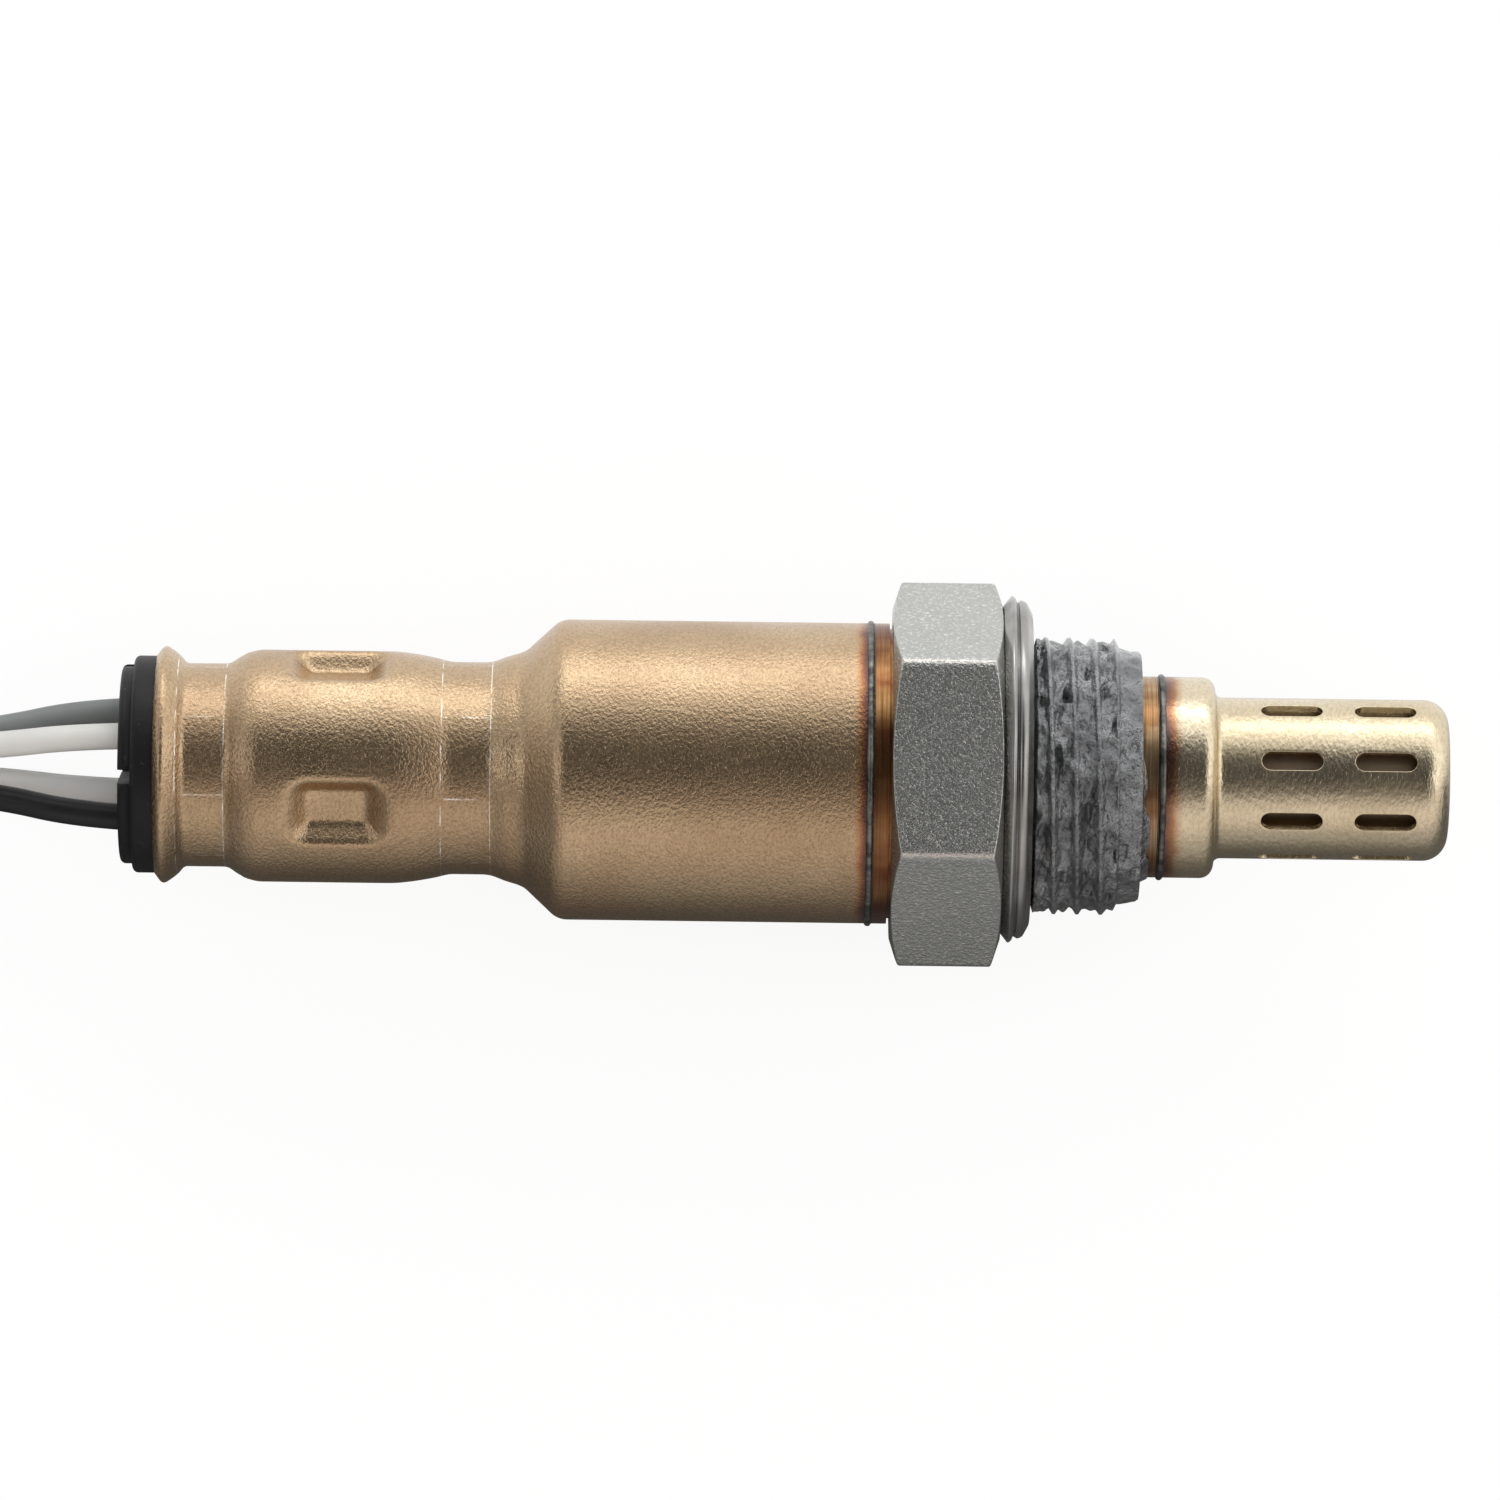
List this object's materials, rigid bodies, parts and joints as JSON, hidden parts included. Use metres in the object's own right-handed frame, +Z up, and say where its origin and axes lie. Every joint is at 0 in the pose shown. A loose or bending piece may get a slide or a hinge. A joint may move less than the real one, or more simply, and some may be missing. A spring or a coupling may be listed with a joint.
{
  "type": "oxygen sensor",
  "caption": "Heated exhaust oxygen sensor: hex shell, crimped steel sleeve, slotted nose, wired lead tied in a hank with its connector.",
  "frame": {"origin": "on the sensor's axis, at the gasket's sealing face", "axes": "+X along the sensor's axis towards its slotted nose, +Z up, the sensor lying on one hex flat"},
  "size_m": [0.2285, 0.0354, 0.0224],
  "materials": {
    "shell_steel": "blasted stainless steel, grainy grey",
    "sleeve_steel": "fine-blasted stainless steel, tempered to a bronze gold",
    "protector_steel": "drawn stainless steel, pale gold sheen",
    "gasket_steel": "bright folded steel",
    "inner_steel": "brown tempered steel",
    "zirconia": "white sintered ceramic",
    "alumina": "white alumina",
    "talc": "pressed powder",
    "contact_alloy": "nickel-plated spring strip",
    "black_rubber": "matte black rubber",
    "grey_insulation": "grey wire insulation",
    "white_insulation": "white wire insulation",
    "black_insulation": "black wire insulation",
    "loom_braid": "black glass-fibre braid",
    "shrink_tube": "shrunk black tube",
    "tie_nylon": "black nylon",
    "connector_plastic": "black moulded plastic",
    "seal_rubber": "orange silicone rubber",
    "lock_plastic": "natural plastic"
  },
  "bodies": {
    "root": {"metal_shell": "shell_steel", "crush_gasket": "gasket_steel", "outer_sleeve": "sleeve_steel", "outer_protector": "protector_steel", "inner_protector": "inner_steel", "zirconia_element": "zirconia", "heater_rod": "alumina", "packing_ring": "contact_alloy", "talc_seal": "talc", "ceramic_bush": "alumina", "caulking_ring": "contact_alloy", "contact_carrier": "alumina", "carrier_spring": "contact_alloy", "contact_heater_a": "contact_alloy", "contact_heater_b": "contact_alloy", "contact_signal": "contact_alloy", "contact_ground": "contact_alloy", "grommet": "black_rubber", "wire_grey": "grey_insulation", "wire_white_a": "white_insulation", "wire_white_b": "white_insulation", "wire_black": "black_insulation", "loom_collar": "shrink_tube", "loom_lead": "loom_braid", "loom_hank": "loom_braid", "loom_tail": "loom_braid", "hank_tie": "tie_nylon", "connector_housing": "connector_plastic", "connector_boot": "black_rubber", "connector_seal": "seal_rubber", "connector_lock": "lock_plastic", "socket_heater_a": "contact_alloy", "socket_heater_b": "contact_alloy", "socket_signal": "contact_alloy", "socket_ground": "contact_alloy"}
  },
  "joints": []
}
